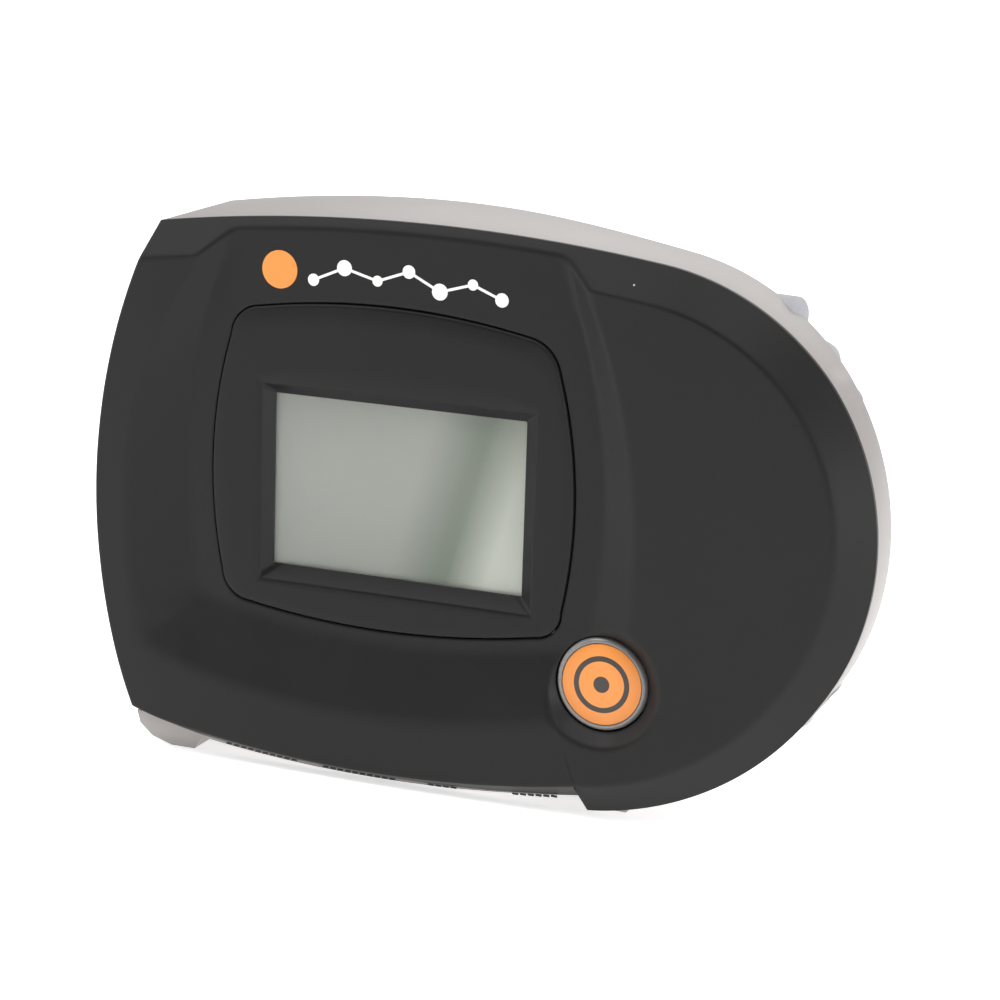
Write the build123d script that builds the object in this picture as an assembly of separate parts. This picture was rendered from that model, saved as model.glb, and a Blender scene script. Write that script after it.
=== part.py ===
from build123d import *
import os

# Handheld controller with a graphic display: a black front cover, a silver
# rear shell, one push button and four sockets in the underside.
# Millimetres. +X is right and +Z is up on the face. +Y runs from the face to
# the back. The pieces are drawn with X = 0 at the middle of the display, Y = 0
# at the joint between cover and shell, and Z = 0 at the level that the feet
# stand on. On export the origin moves under the middle of the case's box.

# Driving dimensions
DISPLAY_Z = 47.4          # middle of the display above the feet
DISPLAY_W = 42.5          # visible display
DISPLAY_H = 27.7
FACE_Y = -4.5             # front of the cover
FLOOR_Y = -1.9            # floor of the shallow recess round the display
RIM_Y = -0.8              # outer edge of the cover's chamfer band
COVER_SKIN = 1.2          # wall of the cover behind the recess floor
WALL = 2.0                # wall of both mouldings
GAP = 0.2                 # running clearance
DEPTH_LEFT = 24.5         # depth of the shell behind the joint, by station
DEPTH_HUMP = 28.0
DEPTH_MIDDLE = 24.2
DEPTH_GRIP = 14.9         # where the flat slope under the grip begins
DEPTH_RIGHT = 8.9
FOOT_DEPTH = 19.0         # length of the left foot from front to back
BACK_ROUND = 3.0          # radius round the back of the shell
BUTTON_X = 35.6
BUTTON_Z = -25.4
BUTTON_R = 7.4
BUTTON_FRONT_Y = -2.6
BUTTON_TRAVEL = 0.8
RIB_PITCH = 6.1           # the ribs lie level across the slope
RIB_R = 3.1
RIB_SINK = 1.5            # axis of a rib below the slope
RIB_MIDDLE_Z = 1.5
RIBS_EACH_WAY = 5
BOARD_Y = 6.0             # front face of the circuit board
BOARD_T = 1.6
SOCKET_Y = 13.8           # middle of the row of sockets
JACK_A_X = -22.4
JACK_B_X = -5.1
PHONE_X = 11.3
POWER_X = 25.4
NOSE_X = 33.0             # centre of the round right end
NOSE_Z = -1.0
NOSE_R = 44.0
CASE_SCREWS = [(-39.5, 31.0), (52.0, 27.5), (58.0, -24.5), (-38.5, -37.5)]
BOARD_SCREWS = [(-36.5, 24.5), (44.0, 27.0), (48.5, -14.0), (-40.0, -20.0)]
CENTRE_X = 12.2           # middle of the case's box, from the display's
CENTRE_Y = 11.75
BACK = Vector(0, 1, 0)    # the direction from the face to the back


def at(x, z, y=0.0):
    """A point measured from the middle of the display."""
    return Vector(x, y, DISPLAY_Z + z)


def arc(a, through, b, y=0.0):
    return ThreePointArc(at(*a, y), at(*through, y), at(*b, y))


def line(a, b, y=0.0):
    return Line(at(*a, y), at(*b, y))


def loop(edges):
    return Wire(edges)


def polygon(points, y=0.0):
    pairs = zip(points, points[1:] + points[:1])
    return loop([line(a, b, y) for a, b in pairs])


def plate(wire, y0, y1):
    """The wire, drawn in the plane Y = 0, filled from y0 to y1."""
    return Pos(0, y0, 0) * extrude(Face(wire), amount=y1 - y0, dir=BACK)


def block(x0, x1, y0, y1, z0, z1):
    """A box between two corners, its heights measured from the display."""
    middle = at((x0 + x1) / 2, (z0 + z1) / 2, (y0 + y1) / 2)
    return Pos(middle) * Box(x1 - x0, y1 - y0, z1 - z0)


def round_y(x, z, radius, y0, y1):
    """A cylinder from y0 to y1 along the depth."""
    turned = Rotation(90, 0, 0) * Cylinder(radius, y1 - y0)
    return Pos(at(x, z, (y0 + y1) / 2)) * turned


def round_z(x, y, radius, z0, z1):
    """An upright cylinder from z0 to z1."""
    return Pos(at(x, (z0 + z1) / 2, y)) * Cylinder(radius, z1 - z0)


# Outlines of the whole case, shared by the cover and the shell

TOP_LEFT = (-41.6, 39.4)
TOP_RIGHT = (42.0, 39.97)
SHOULDER = (68.7, 24.6)
NOSE_LOW = (69.7, -24.3)
CHIN = (49.0, -42.4)
CHIN_END = (33.5, -46.6)
BELLY_RIGHT = (32.4, -44.6)
BELLY_LEFT = (-33.8, -44.8)
CORNER_LEFT = (-46.2, -41.9)
NOSE_TIP = (NOSE_X + NOSE_R, NOSE_Z)


def upper_edges():
    """Top, shoulder, nose and chin, from the top left corner round."""
    return [
        arc(TOP_LEFT, (-5.0, 42.6), TOP_RIGHT),
        arc(TOP_RIGHT, (56.0, 35.4), SHOULDER),
        arc(SHOULDER, NOSE_TIP, NOSE_LOW),
        arc(NOSE_LOW, (60.4, -35.1), CHIN),
        arc(CHIN, (41.6, -45.1), CHIN_END),
        line(CHIN_END, BELLY_RIGHT),
    ]


def left_edge():
    return arc(CORNER_LEFT, (-52.6, -6.0), TOP_LEFT)


def cover_outline():
    belly = [
        arc(BELLY_RIGHT, (-2.0, -46.85), BELLY_LEFT),
        arc(BELLY_LEFT, (-40.3, -43.5), CORNER_LEFT),
    ]
    return loop(upper_edges() + belly + [left_edge()])


def shell_outline():
    """As the cover, with a deeper belly."""
    belly = [
        arc(BELLY_RIGHT, (-2.0, -47.3), (-33.9, -45.2)),
        arc((-33.9, -45.2), (-40.3, -43.8), CORNER_LEFT),
    ]
    return loop(upper_edges() + belly + [left_edge()])


def left_foot():
    outline = polygon([
        (-33.6, -44.4),
        (-35.4, -DISPLAY_Z),
        (-39.6, -DISPLAY_Z),
        (-43.2, -46.3),
        (-45.4, -44.4),
        (-46.0, -42.3),
        (-40.0, -42.6),
    ])
    return plate(outline, 0.0, FOOT_DEPTH)


def inset(wire, distance):
    """The outline moved inwards, as a wire in the same plane."""
    moved = offset(Face(wire), amount=-distance, kind=Kind.ARC)
    return moved.faces()[0].outer_wire()


def chamfer_body():
    """Everything behind the face, the chamfer band that runs along the top,
    round the nose and down to the chin, and the steep sides of the belly and
    the left end."""
    front = loop([
        arc((-43.6, 33.9), (-4.0, 37.0), (41.2, 34.5), FACE_Y),
        arc((41.2, 34.5), (53.0, 30.7), (62.3, 23.6), FACE_Y),
        arc((62.3, 23.6), (71.9, -2.0), (65.4, -22.3), FACE_Y),
        arc((65.4, -22.3), (57.3, -31.2), (46.5, -38.0), FACE_Y),
        arc((46.5, -38.0), (40.5, -40.6), (33.2, -41.9), FACE_Y),
        arc((33.2, -41.9), (-4.0, -45.3), (-33.8, -42.9), FACE_Y),
        arc((-33.8, -42.9), (-39.5, -41.9), (-44.9, -40.4), FACE_Y),
        arc((-44.9, -40.4), (-51.65, -6.0), (-43.6, 33.9), FACE_Y),
    ])
    rim = loop([
        arc(TOP_LEFT, (-5.0, 42.6), TOP_RIGHT, RIM_Y),
        arc(TOP_RIGHT, (56.0, 35.4), SHOULDER, RIM_Y),
        arc(SHOULDER, NOSE_TIP, NOSE_LOW, RIM_Y),
        arc(NOSE_LOW, (60.4, -35.1), CHIN, RIM_Y),
        arc(CHIN, (41.6, -45.1), CHIN_END, RIM_Y),
        arc(CHIN_END, (-2.0, -47.4), BELLY_LEFT, RIM_Y),
        arc(BELLY_LEFT, (-40.3, -43.5), CORNER_LEFT, RIM_Y),
        arc(CORNER_LEFT, (-52.6, -6.0), TOP_LEFT, RIM_Y),
    ])
    behind = block(-70, 90, RIM_Y, 1, -70, 60)
    return Solid.make_loft([rim, front], ruled=True) + behind


def recess(skin=0.0):
    """The shallow recess round the display, with sloping sides. It is open
    at the top, where it runs out through the chamfer band."""
    brink_y = FACE_Y + skin
    floor_y = FLOOR_Y + skin
    brink = loop([
        line((-28.5, 50.0), (-34.9, 31.0), brink_y),
        arc((-34.9, 31.0), (-46.0, 2.0), (-44.4, -24.5), brink_y),
        arc((-44.4, -24.5), (-43.4, -28.2), (-40.6, -30.2), brink_y),
        arc((-40.6, -30.2), (-5.0, -36.6), (25.8, -32.6), brink_y),
        arc((25.8, -32.6), (35.8, -25.6), (40.7, -14.0), brink_y),
        arc((40.7, -14.0), (39.6, 8.0), (32.6, 33.0), brink_y),
        line((32.6, 33.0), (27.0, 50.0), brink_y),
        line((27.0, 50.0), (-28.5, 50.0), brink_y),
    ])
    floor = loop([
        line((-25.0, 50.0), (-30.6, 33.0), floor_y),
        arc((-30.6, 33.0), (-36.0, 2.0), (-34.0, -17.0), floor_y),
        arc((-34.0, -17.0), (-33.0, -19.6), (-30.4, -20.7), floor_y),
        arc((-30.4, -20.7), (-1.0, -23.9), (25.0, -21.6), floor_y),
        arc((25.0, -21.6), (31.2, -19.6), (33.6, -14.0), floor_y),
        arc((33.6, -14.0), (34.7, 5.0), (29.0, 33.0), floor_y),
        line((29.0, 33.0), (24.0, 50.0), floor_y),
        line((24.0, 50.0), (-25.0, 50.0), floor_y),
    ])
    over = plate(cover_outline(), FACE_Y - 9, FACE_Y - 8)
    sunk = Solid.make_loft([floor, brink], ruled=True)
    lid = Pos(0, brink_y, 0) * extrude(Face(brink).moved(Pos(0, -brink_y, 0)), amount=6, dir=-BACK)
    return (sunk + lid) - over


def bezel_outline():
    """The display bezel, four bowed sides with round corners."""
    return loop([
        arc((-23.5, 27.6), (0.0, 29.4), (21.6, 27.1), 0),
        arc((21.6, 27.1), (24.8, 25.6), (26.6, 22.6), 0),
        arc((26.6, 22.6), (29.8, 3.0), (28.3, -15.0), 0),
        arc((28.3, -15.0), (27.2, -18.2), (24.0, -19.6), 0),
        arc((24.0, -19.6), (2.0, -22.0), (-24.6, -20.2), 0),
        arc((-24.6, -20.2), (-28.2, -18.6), (-29.6, -15.2), 0),
        arc((-29.6, -15.2), (-31.4, 0.0), (-28.4, 22.8), 0),
        arc((-28.4, 22.8), (-26.8, 26.2), (-23.5, 27.6), 0),
    ])


# Front

def build_front_cover():
    shape = plate(cover_outline(), FACE_Y, 0.0) & chamfer_body()
    shape -= recess()
    hollow = plate(inset(cover_outline(), WALL), FACE_Y + WALL, 1.0) & (Pos(0, WALL, 0) * chamfer_body())
    hollow -= recess(COVER_SKIN)
    shape -= hollow
    shape -= plate(inset(bezel_outline(), -GAP), FACE_Y, 1.0)
    shape -= round_y(BUTTON_X, BUTTON_Z, BUTTON_R + GAP + 0.7, FACE_Y - 1, -2.9)
    well = Cone(BUTTON_R + 0.9, BUTTON_R + 2.6, 2.8)
    shape -= Pos(at(BUTTON_X, BUTTON_Z, -4.2)) * Rotation(90, 0, 0) * well
    guide = round_y(BUTTON_X, BUTTON_Z, BUTTON_R + 2.2, -2.6, 2.6) - block(10, 28.3, 0.3, 3, -23, 0)
    shape += guide & plate(inset(cover_outline(), 1.0), -2.6, 2.6)
    shape -= round_y(BUTTON_X, BUTTON_Z, BUTTON_R + GAP, FACE_Y - 1, 3.0)
    for x, z in CASE_SCREWS:
        shape += round_y(x, z, 3.0, -3.2, 4.0) - recess()
        shape -= round_y(x, z, 1.1, -0.4, 4.1)
    for x, z in BOARD_SCREWS:
        shape += round_y(x, z, 2.6, -3.2, BOARD_Y) - recess()
        shape -= round_y(x, z, 1.0, 1.5, BOARD_Y + 1)
    return shape


def build_display_bezel():
    """Holds the lens. The opening flares towards the front."""
    shape = plate(bezel_outline(), -2.0, 0.4)
    shape += plate(inset(bezel_outline(), 0.35), -2.3, -1.9)
    near = polygon([(-22.8, 15.6), (23.4, 15.6), (23.4, -16.2), (-22.8, -16.2)], -2.4)
    half_w = DISPLAY_W / 2
    half_h = DISPLAY_H / 2
    far = polygon([(-half_w, half_h), (half_w, half_h), (half_w, -half_h), (-half_w, -half_h)], -0.6)
    shape -= Solid.make_loft([far, near], ruled=True)
    shape -= block(-half_w, half_w, -1.0, 1.0, -half_h, half_h)
    ledge = block(-24.6, 24.6, -0.5, 1.0, -17.6, 17.6)
    return shape - ledge


def build_display_lens():
    return block(-24.4, 24.4, -0.5, 0.4, -17.4, 17.4)


def build_lcd_panel():
    """Two sheets of glass, the rear one longer for its contacts."""
    front = block(-25.5, 25.5, 0.6, 1.6, -17.5, 16.5)
    rear = block(-25.5, 25.5, 1.6, 2.6, -20.5, 16.5)
    return front + rear


def build_lcd_frame():
    shape = block(-28.0, 28.0, 0.6, 4.4, -22.0, 20.0)
    shape -= block(-25.7, 25.7, 0.5, 4.5, -20.7, 16.7)
    for x in (-26.9, 26.9):
        for z in (-20.6, 18.6):
            shape += round_y(x, z, 1.0, 4.4, 5.9)
    return shape


def build_lcd_backlight():
    return block(-25.0, 25.0, 2.7, 4.3, -19.5, 16.0)


def build_lcd_contacts():
    """Two springy strips that join the glass to the board."""
    strips = [block(x - 9.0, x + 9.0, 4.5, BOARD_Y - 0.05, -19.8, -17.6) for x in (-12.0, 12.0)]
    return Compound(strips)


# Button and its switch

def build_button_cap():
    shape = round_y(BUTTON_X, BUTTON_Z, BUTTON_R, BUTTON_FRONT_Y, 1.4)
    shape = fillet(shape.faces().sort_by(Axis.Y)[0].edges(), 0.45)
    shape += round_y(BUTTON_X, BUTTON_Z, 2.0, 1.4, 3.0)
    return shape - round_y(BUTTON_X, BUTTON_Z, BUTTON_R - 0.9, BUTTON_FRONT_Y - 1, BUTTON_FRONT_Y + 0.5)


def build_button_inlay():
    return round_y(BUTTON_X, BUTTON_Z, BUTTON_R - 0.95, BUTTON_FRONT_Y + 0.15, BUTTON_FRONT_Y + 0.5)


def build_switch_body():
    shape = block(BUTTON_X - 3.1, BUTTON_X + 3.1, 4.2, BOARD_Y, BUTTON_Z - 3.1, BUTTON_Z + 3.1)
    shape -= round_y(BUTTON_X, BUTTON_Z, 1.85, 4.0, 5.6)
    for x in (-2.2, 2.2):
        shape += block(BUTTON_X + x - 0.35, BUTTON_X + x + 0.35, 5.6, BOARD_Y, BUTTON_Z - 4.2, BUTTON_Z + 4.2)
    return shape


def build_switch_plunger():
    """Stands clear of the floor of the switch by a little more than its travel."""
    return round_y(BUTTON_X, BUTTON_Z, 1.65, 3.05, 5.5 - BUTTON_TRAVEL)


# Circuit board

def build_main_board():
    corners = [(-34, 31), (45, 31), (53, 18), (53, -22), (44, -32), (-35, -32), (-44, -24), (-44, 21)]
    shape = plate(polygon(corners), BOARD_Y, BOARD_Y + BOARD_T)
    for x, z in BOARD_SCREWS:
        shape -= round_y(x, z, 1.6, BOARD_Y - 1, BOARD_Y + 3)
    for x in (-26.9, 26.9):
        for z in (-20.6, 18.6):
            shape -= round_y(x, z, 1.15, BOARD_Y - 1, BOARD_Y + 3)
    return shape


def build_board_chips():
    back = BOARD_Y + BOARD_T
    return Compound([
        block(-8, 6, back, back + 1.6, 4, 18),
        block(-28, -20, back, back + 1.5, 2, 12),
        block(16, 22, back, back + 1.5, 8, 14),
        block(18, 28, back, back + 2.4, -8, -2),
    ])


def build_board_capacitors():
    back = BOARD_Y + BOARD_T
    places = [(-28.0, -10.0), (-20.0, -10.0), (8.0, -8.0)]
    return Compound([round_y(x, z, 2.5, back, back + 5.4) for x, z in places])


def screw(x, z, y_head, length, radius, head_radius, head_height):
    """A pan-head screw driven towards the face."""
    shape = round_y(x, z, radius, y_head - length, y_head)
    shape += round_y(x, z, head_radius, y_head, y_head + head_height)
    cross = block(x - 1.2, x + 1.2, y_head + head_height - 0.7, y_head + head_height + 1, z - 0.3, z + 0.3)
    cross += block(x - 0.3, x + 0.3, y_head + head_height - 0.7, y_head + head_height + 1, z - 1.2, z + 1.2)
    return shape - cross


def build_board_screws():
    head = BOARD_Y + BOARD_T
    return Compound([screw(x, z, head, 3.4, 0.95, 2.0, 1.2) for x, z in BOARD_SCREWS])


# Sockets, all opening downwards

def belly_z(x):
    """Height of the underside at x, measured from the display."""
    return -47.3 + 2.0 * ((x + 1.5) / 32.4) ** 2


def build_modular_jack(x):
    """A six-way modular socket, its latch side towards the face."""
    low = belly_z(x) + 0.9
    shape = block(x - 6.6, x + 6.6, SOCKET_Y - 6.0, SOCKET_Y + 6.0, low, low + 14.5)
    shape -= block(x - 4.9, x + 4.9, SOCKET_Y - 2.6, SOCKET_Y + 4.2, low - 1, low + 12.0)
    shape -= block(x - 3.1, x + 3.1, SOCKET_Y - 4.4, SOCKET_Y - 2.5, low - 1, low + 9.0)
    return shape


def build_jack_contacts(x):
    """Six gold wires that slope out of the back wall of the socket."""
    low = belly_z(x) + 0.9
    wires = []
    for i in range(6):
        wx = x - 2.55 + 1.02 * i
        wires.append(block(wx - 0.2, wx + 0.2, SOCKET_Y + 2.9, SOCKET_Y + 4.15, low + 2.0, low + 11.9))
    return wires


PHONE_R = 1.8
PHONE_DEEP = 11.0


def build_phone_socket():
    """A 3.5 mm socket: a square body and a threaded-looking nose."""
    low = belly_z(PHONE_X) + 0.4
    shape = block(PHONE_X - 4.0, PHONE_X + 4.0, SOCKET_Y - 5.9, SOCKET_Y + 2.0, low + 3.0, low + 15.0)
    shape += round_z(PHONE_X, SOCKET_Y - 1.9, 3.0, low, low + 3.0)
    return shape - round_z(PHONE_X, SOCKET_Y - 1.9, PHONE_R, low - 1, low + PHONE_DEEP)


def build_power_socket():
    """A barrel socket with an open well."""
    low = belly_z(POWER_X) + 0.6
    shape = block(POWER_X - 4.5, POWER_X + 4.5, SOCKET_Y - 5.9, SOCKET_Y + 2.6, low, low + 13.0)
    return shape - round_z(POWER_X, SOCKET_Y - 1.6, 3.1, low - 1, low + 9.5)


def build_power_pin():
    low = belly_z(POWER_X) + 0.6
    return round_z(POWER_X, SOCKET_Y - 1.6, 0.98, low + 1.0, low + 9.5)


# Rear shell

def back_profile(push):
    """Everything in front of the curved back, moved forwards by push."""
    def spot(x, y):
        return Vector(x, y - push, 0)
    edges = [
        Spline(
            [spot(-54, DEPTH_LEFT), spot(-21, DEPTH_HUMP), spot(12, DEPTH_MIDDLE), spot(46, DEPTH_GRIP)],
            tangents=[Vector(1, 0.2, 0), Vector(34, DEPTH_RIGHT - DEPTH_GRIP, 0)],
        ),
        Line(spot(46, DEPTH_GRIP), spot(80, DEPTH_RIGHT)),
        Line(spot(80, DEPTH_RIGHT), Vector(80, -20, 0)),
        Line(Vector(80, -20, 0), Vector(-54, -20, 0)),
        Line(Vector(-54, -20, 0), spot(-54, DEPTH_LEFT)),
    ]
    face = Face(Wire(edges))
    return Pos(0, 0, -10) * extrude(face, amount=120, dir=(0, 0, 1))


def build_rear_shell():
    shape = plate(shell_outline(), 0.0, 40.0) & back_profile(0.0)
    back_faces = [face for face in shape.faces() if face.normal_at().Y > 0.5]
    edges = [edge for face in back_faces for edge in face.edges()]
    rim = [edge for edge in edges if sum(other.is_same(edge) for other in edges) == 1]
    shape = fillet(rim, BACK_ROUND)
    hollow = plate(inset(shell_outline(), WALL), -1.0, 40.0) & back_profile(WALL)
    shape -= hollow
    shape += left_foot()
    shape += block(34.2, 38.6, 3.0, 14.0, -DISPLAY_Z, -45.3)
    for x, z in CASE_SCREWS:
        shape += round_y(x, z, 3.3, 4.2, 40.0) & back_profile(1.0) & plate(inset(shell_outline(), 0.5), 0, 40)
        shape -= round_y(x, z, 1.35, 3.0, 45.0)
        shape -= round_y(x, z, 2.3, 6.2, 45.0)
    for x in (JACK_A_X, JACK_B_X):
        shape -= block(x - 6.8, x + 6.8, SOCKET_Y - 6.2, SOCKET_Y + 6.2, -50, -43)
    shape -= round_z(PHONE_X, SOCKET_Y - 1.9, 3.2, -50, -42)
    shape -= block(POWER_X - 4.7, POWER_X + 4.7, SOCKET_Y - 6.1, SOCKET_Y + 2.8, -50, -42)
    return shape


def build_case_screws():
    return Compound([screw(x, z, 6.3, 6.4, 1.05, 2.1, 1.6) for x, z in CASE_SCREWS])


def build_finger_grip():
    """A soft crescent on the slanting back, with level ribs for the fingers."""
    crescent = round_y(NOSE_X, NOSE_Z, NOSE_R - 2.0, 0, 40)
    crescent -= round_y(NOSE_X - 4, NOSE_Z, NOSE_R - 12, -1, 41)
    crescent &= block(46, 80, 0, 40, -33, 33)
    grip = crescent & (back_profile(-1.2) - back_profile(-0.1))
    along = Vector(34, DEPTH_RIGHT - DEPTH_GRIP, 0).normalized()
    sunk = Vector(along.Y, -along.X, 0) * RIB_SINK
    for i in range(-RIBS_EACH_WAY, RIBS_EACH_WAY + 1):
        start = at(46, RIB_MIDDLE_Z + i * RIB_PITCH, DEPTH_GRIP) + sunk
        grip += Plane(origin=start, z_dir=along) * Pos(0, 0, 17) * Cylinder(RIB_R, 34) & rib_zone()
    return grip - back_profile(-0.1)


def rib_zone():
    """Where the ribs may be: a crescent that ends short of the case's edge."""
    zone = plate(inset(shell_outline(), 1.0), 0, 40)
    zone -= round_y(NOSE_X - 4, NOSE_Z, NOSE_R - 11, -1, 41)
    return zone & block(46.5, 80, 0, 40, -34, 36)


def export(node, shape):
    """Moves the origin under the middle of the case and writes the node."""
    moved = Pos(-CENTRE_X, -CENTRE_Y, 0) * shape
    moved.label = node
    export_step(moved, f"parts/{node}.step")


os.makedirs("parts", exist_ok=True)
export("front_cover", build_front_cover())
export("display_bezel", build_display_bezel())
export("display_lens", build_display_lens())
export("lcd_panel", build_lcd_panel())
export("lcd_frame", build_lcd_frame())
export("lcd_backlight", build_lcd_backlight())
export("lcd_contacts", build_lcd_contacts())
export("button_cap", build_button_cap())
export("button_inlay", build_button_inlay())
export("switch_body", build_switch_body())
export("switch_plunger", build_switch_plunger())
export("main_board", build_main_board())
export("board_chips", build_board_chips())
export("board_capacitors", build_board_capacitors())
export("board_screws", build_board_screws())
export("modular_jack_a", build_modular_jack(JACK_A_X))
export("modular_jack_b", build_modular_jack(JACK_B_X))
export("jack_contacts_a", Compound(build_jack_contacts(JACK_A_X)))
export("jack_contacts_b", Compound(build_jack_contacts(JACK_B_X)))
export("phone_socket", build_phone_socket())
export("power_socket", build_power_socket())
export("power_pin", build_power_pin())
export("rear_shell", build_rear_shell())
export("case_screws", build_case_screws())
export("finger_grip", build_finger_grip())
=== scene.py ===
"""Looks of the handheld controller: case, display, button, grip, sockets and a plain studio stage."""

import math

import bmesh
import bpy
import numpy as np
from bpy.props import FloatProperty, FloatVectorProperty, IntProperty, PointerProperty
from mathutils import Matrix, Vector


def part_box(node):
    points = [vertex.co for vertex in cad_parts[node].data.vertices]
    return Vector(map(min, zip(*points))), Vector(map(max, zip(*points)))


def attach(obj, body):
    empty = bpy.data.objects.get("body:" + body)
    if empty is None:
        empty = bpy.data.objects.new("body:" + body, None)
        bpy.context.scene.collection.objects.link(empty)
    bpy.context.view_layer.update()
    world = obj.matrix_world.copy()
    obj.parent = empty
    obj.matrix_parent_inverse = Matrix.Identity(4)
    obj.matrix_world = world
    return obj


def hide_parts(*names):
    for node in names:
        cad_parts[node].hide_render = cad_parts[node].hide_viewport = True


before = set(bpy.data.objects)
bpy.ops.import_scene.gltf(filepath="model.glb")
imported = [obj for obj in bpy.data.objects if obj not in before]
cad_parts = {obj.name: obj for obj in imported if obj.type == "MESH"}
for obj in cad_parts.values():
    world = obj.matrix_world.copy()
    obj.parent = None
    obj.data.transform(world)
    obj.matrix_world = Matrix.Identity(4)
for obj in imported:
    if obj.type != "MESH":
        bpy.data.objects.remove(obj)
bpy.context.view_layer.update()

bl_info = {
    "name": "Handheld controller",
    "version": (1, 0, 0),
    "blender": (4, 5, 0),
    "location": "3D View > Sidebar > Controller",
    "description": "Builds the case, display, button, grip and sockets of a handheld controller",
    "category": "Object",
}

MM = 0.001
LENS_LOW, LENS_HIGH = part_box("display_lens")
SHELL_LOW, SHELL_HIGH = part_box("rear_shell")
# The outlines below are drawn from the middle of the display, at the joint of cover and shell.
MIDDLE = Vector(((LENS_LOW[0] + LENS_HIGH[0]) / 2, SHELL_LOW[1], (LENS_LOW[2] + LENS_HIGH[2]) / 2))


# ---------------------------------------------------------------- sizes and colours


def length(name, text, value, low=0.0):
    return FloatProperty(name=name, description=text, default=value * MM, min=low, unit="LENGTH", precision=5)


def colour(name, text, value):
    return FloatVectorProperty(
        name=name, description=text, default=value, size=3, min=0, max=1, subtype="COLOR")


class CaseSizes(bpy.types.PropertyGroup):
    face_depth: length("Face depth", "How far the face stands in front of the joint", 4.5)
    floor_depth: length("Recess floor", "How far the recess floor stands in front of the joint", 1.9)
    rim_depth: length("Rim depth", "How far the rim of the chamfer band stands in front of the joint", 0.8)
    band_width: length("Band width", "Width of the chamfer band round the face", 5.5)
    edge_round: length("Edge radius", "Radius of the outer edges", 0.45)
    crown: length("Crown", "How far the face falls away towards the left end and the belly", 0.6)
    cover_skin: length("Cover wall", "Thickness of the front cover", 1.3)
    bezel_depth: length("Bezel depth", "How far the bezel stands in front of the joint", 2.3)
    rib_radius: length("Rib radius", "Radius of one finger rib", 3.1)
    rib_pitch: length("Rib pitch", "Distance from one finger rib to the next", 6.1)
    rib_count: IntProperty(name="Ribs", description="How many finger ribs the grip has", default=11, min=1)


class CaseColours(bpy.types.PropertyGroup):
    cover: colour("Cover", "Black plastic of the front cover", (0.0095, 0.0089, 0.0088))
    bezel: colour("Bezel", "Black plastic of the display bezel", (0.0085, 0.008, 0.0081))
    shell: colour("Shell", "Silver paint of the rear shell", (0.37, 0.345, 0.336))
    grip: colour("Grip", "Soft grey of the finger grip", (0.36, 0.36, 0.385))
    accent: colour("Accent", "Orange of the button and the printed dot", (0.74, 0.25, 0.045))
    display: colour("Display", "Grey-green of the idle display", (0.44, 0.445, 0.40))
    board: colour("Board", "Green of the circuit board", (0.03, 0.17, 0.08))
    floor: colour("Floor", "Pale floor of the stage", (0.92, 0.92, 0.92))


# ---------------------------------------------------------------- outlines, in millimetres from the middle


def arc_points(a, through, b, count):
    """Points spread evenly on the arc from a through another point to b, without b."""
    a, m, b = (np.array(p, float) for p in (a, through, b))
    rows = np.array([m - a, b - a]) * 2
    centre = np.linalg.solve(rows, [m @ m - a @ a, b @ b - a @ a])
    radius = np.linalg.norm(a - centre)
    start, mid, end = (math.atan2(*(p - centre)[::-1]) for p in (a, m, b))
    turn = (end - start) % math.tau
    if (mid - start) % math.tau > turn:
        turn -= math.tau
    angles = start + turn * np.arange(count) / count
    return centre + radius * np.stack([np.cos(angles), np.sin(angles)], 1)


def line_points(a, b, count):
    a, b = np.array(a, float), np.array(b, float)
    return a + (b - a) * (np.arange(count) / count)[:, None]


def trace(runs):
    """Joins arcs (three points) and lines (two points), each with its number of points."""
    rows = [arc_points(*run) if len(run) == 4 else line_points(*run) for run in runs]
    return np.vstack(rows)


TOP_LEFT = (-41.6, 39.4)
TOP_RIGHT = (42.0, 39.97)
SHOULDER = (68.7, 24.6)
NOSE = (77.0, -1.0)
NOSE_LOW = (69.7, -24.3)
CHIN = (49.0, -42.4)
CHIN_END = (33.5, -46.6)
BELLY_RIGHT = (32.4, -44.6)
BELLY_LEFT = (-33.8, -44.8)
CORNER_LEFT = (-46.2, -41.9)
FACE_BELLY_RIGHT = (32.7, -42.1)
FACE_BELLY_LEFT = (-33.8, -42.9)
FACE_CORNER_LEFT = (-44.9, -40.4)
FACE_TOP_LEFT = (-43.6, 33.9)
BUTTON = (35.6, -25.4)


def band_runs():
    """The rim of the chamfer band, from the top left corner round the nose to the chin's end."""
    return [
        (TOP_LEFT, (-5.0, 42.6), TOP_RIGHT, 100),
        (TOP_RIGHT, (56.0, 35.4), SHOULDER, 44),
        (SHOULDER, NOSE, NOSE_LOW, 66),
        (NOSE_LOW, (60.4, -35.1), CHIN, 34),
        (CHIN, (41.6, -45.1), CHIN_END, 22),
    ]


def rim_outline():
    """Where the cover meets the shell."""
    return trace(band_runs() + [
        (CHIN_END, BELLY_RIGHT, 6),
        (BELLY_RIGHT, (-2.0, -46.85), BELLY_LEFT, 90),
        (BELLY_LEFT, (-40.3, -43.5), CORNER_LEFT, 20),
        (CORNER_LEFT, (-52.6, -6.0), TOP_LEFT, 104),
    ])


def face_outline():
    """The outer edge of the cover's front."""
    return trace(band_runs() + [
        (CHIN_END, FACE_BELLY_RIGHT, 6),
        (FACE_BELLY_RIGHT, (-4.0, -45.3), FACE_BELLY_LEFT, 90),
        (FACE_BELLY_LEFT, (-39.5, -41.9), FACE_CORNER_LEFT, 20),
        (FACE_CORNER_LEFT, (-51.65, -6.0), FACE_TOP_LEFT, 90),
        (FACE_TOP_LEFT, TOP_LEFT, 14),
    ])


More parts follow.
